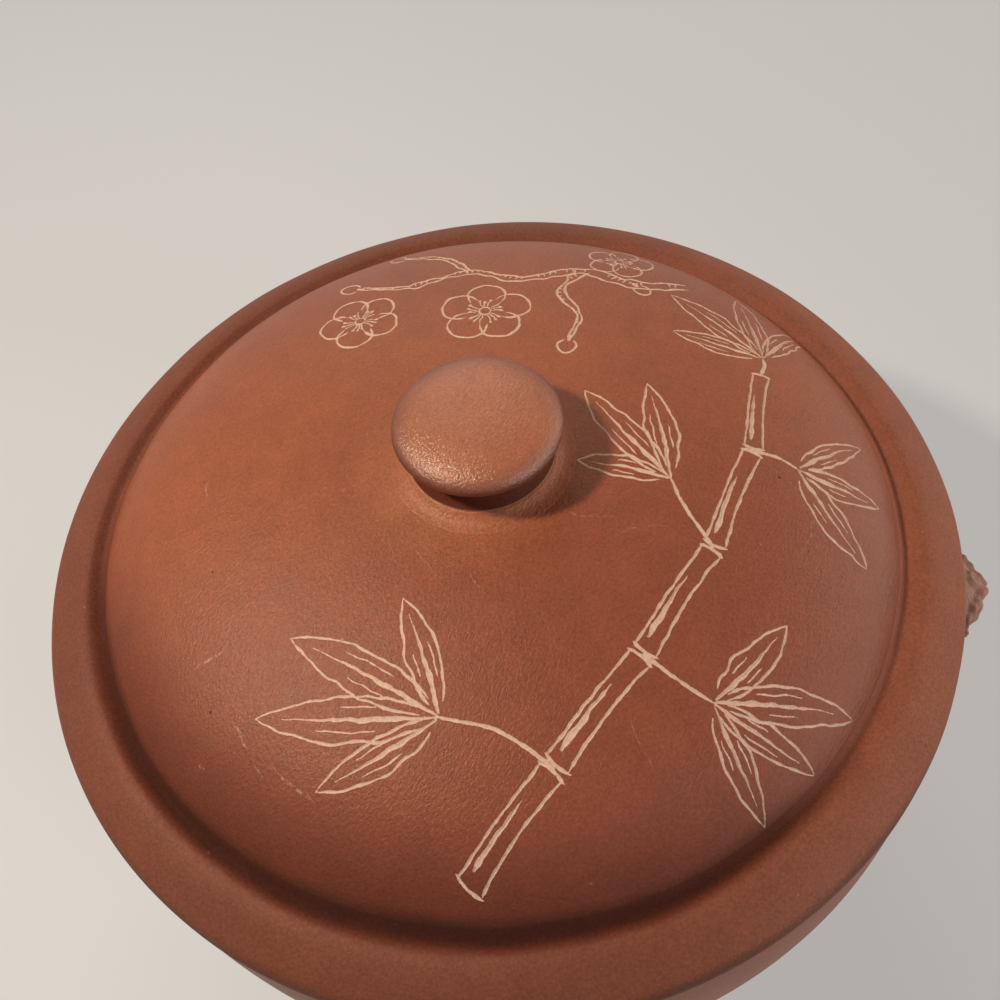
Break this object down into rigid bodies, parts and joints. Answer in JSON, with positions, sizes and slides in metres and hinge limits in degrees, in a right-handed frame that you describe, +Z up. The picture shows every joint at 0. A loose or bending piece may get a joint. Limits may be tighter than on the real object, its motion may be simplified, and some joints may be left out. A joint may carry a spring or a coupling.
{
  "type": "clay steam pot",
  "caption": "Unglazed clay steam pot with a domed lid, an inner steam chimney, beast-head lugs and a foot ring, for steaming food over boiling water.",
  "frame": {"origin": "centre of the foot ring's underside, on the surface that the pot stands on", "axes": "+Z up along the axis that the pot and its lid are turned about; the lugs point along +X and -X"},
  "size_m": [0.254, 0.2264, 0.1585],
  "materials": {
    "wall_clay": "burnished unglazed red-brown stoneware",
    "inner_clay": "raw unglazed stoneware",
    "foot_clay": "raw unglazed stoneware, scraped",
    "lug_clay": "press-moulded unglazed stoneware",
    "lid_clay": "burnished unglazed red-brown stoneware with a sandy grain",
    "knob_clay": "burnished unglazed red-brown stoneware, polished by handling"
  },
  "bodies": {
    "pot": {"foot_ring": "foot_clay", "pot_floor": "inner_clay", "pot_wall": "wall_clay", "mouth_ring": "wall_clay", "chimney": "inner_clay", "chimney_bead": "inner_clay", "lug_right": "lug_clay", "lug_left": "lug_clay"},
    "lid": {"lid_brim": "lid_clay", "lid_dome": "lid_clay", "lid_flange": "lid_clay", "knob_pad": "lid_clay", "knob_neck": "knob_clay", "knob_button": "knob_clay"}
  },
  "joints": [
    {"name": "lid_lift", "type": "slide", "parent": "pot", "child": "lid", "axis": [0, 0, 1], "range_m": [0, 0.12]}
  ]
}
